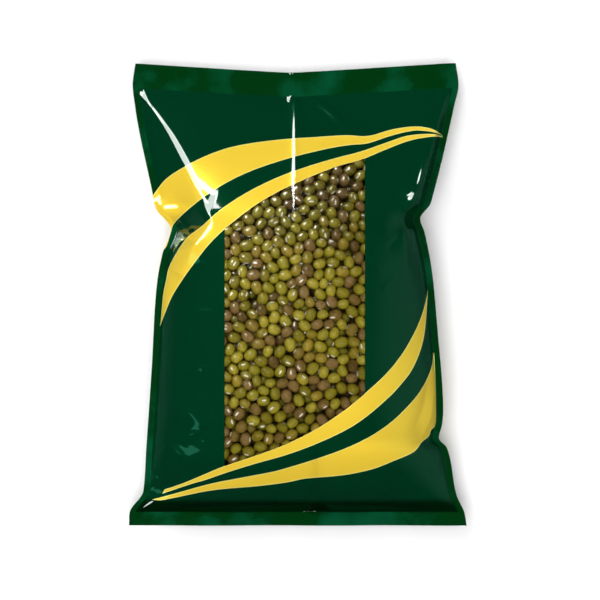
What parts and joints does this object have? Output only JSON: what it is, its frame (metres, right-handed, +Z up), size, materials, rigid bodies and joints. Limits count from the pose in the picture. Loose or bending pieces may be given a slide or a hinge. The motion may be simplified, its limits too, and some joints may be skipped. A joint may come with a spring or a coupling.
{
  "type": "bag of dried mung beans",
  "caption": "Heat-sealed green film bag lying on its back, with two pairs of gold swooshes and a clear window full of dried beans.",
  "frame": {"origin": "on the surface the bag lies on, under the middle of its outline", "axes": "+Y along the bag to its top seal, +X to the right edge, +Z up out of the window side"},
  "size_m": [0.1354, 0.1856, 0.0465],
  "materials": {
    "film": "glossy printed film, dark green with gold bands",
    "beans": "satin dry seed coat, olive green and brown"
  },
  "bodies": {
    "root": {"pouch": "film", "beans": "beans"}
  },
  "joints": []
}
